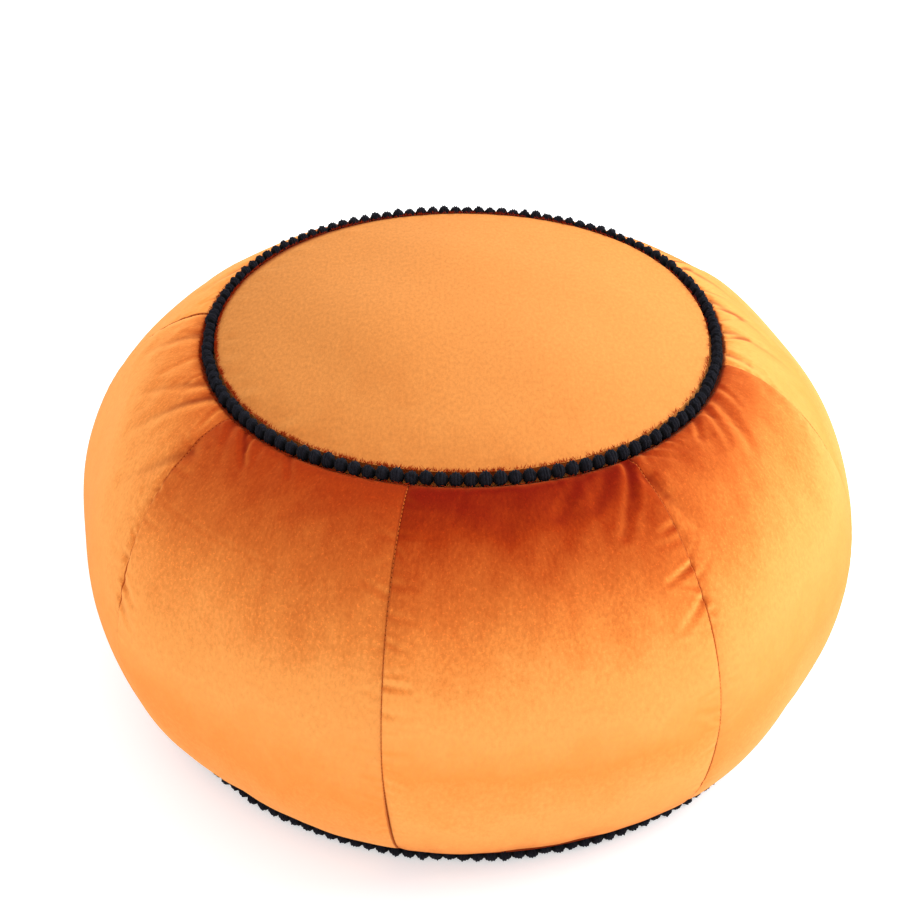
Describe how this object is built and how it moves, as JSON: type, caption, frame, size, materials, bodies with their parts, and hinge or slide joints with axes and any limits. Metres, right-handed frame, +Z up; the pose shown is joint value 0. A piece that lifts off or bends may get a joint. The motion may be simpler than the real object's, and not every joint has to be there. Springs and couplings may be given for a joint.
{
  "type": "round floor cushion",
  "caption": "Round upholstered floor cushion of gored velvet side panels between domed round top and flat round base, with bobble braid on both ring seams.",
  "frame": {"origin": "centre of the flat bottom panel, on the surface that the cushion stands on", "axes": "+Z up through the middle of the cushion, -Y towards the viewer, +X to the viewer's right"},
  "size_m": [0.5984, 0.5982, 0.296],
  "materials": {
    "velvet": "burnt orange cut-pile velvet with a strong sheen",
    "braid": "black wound yarn, matt"
  },
  "bodies": {
    "root": {"top_panel": "velvet", "side_panel_1": "velvet", "side_panel_2": "velvet", "side_panel_3": "velvet", "side_panel_4": "velvet", "side_panel_5": "velvet", "side_panel_6": "velvet", "side_panel_7": "velvet", "side_panel_8": "velvet", "bottom_panel": "velvet", "top_trim": "braid", "bottom_trim": "braid"}
  },
  "joints": []
}
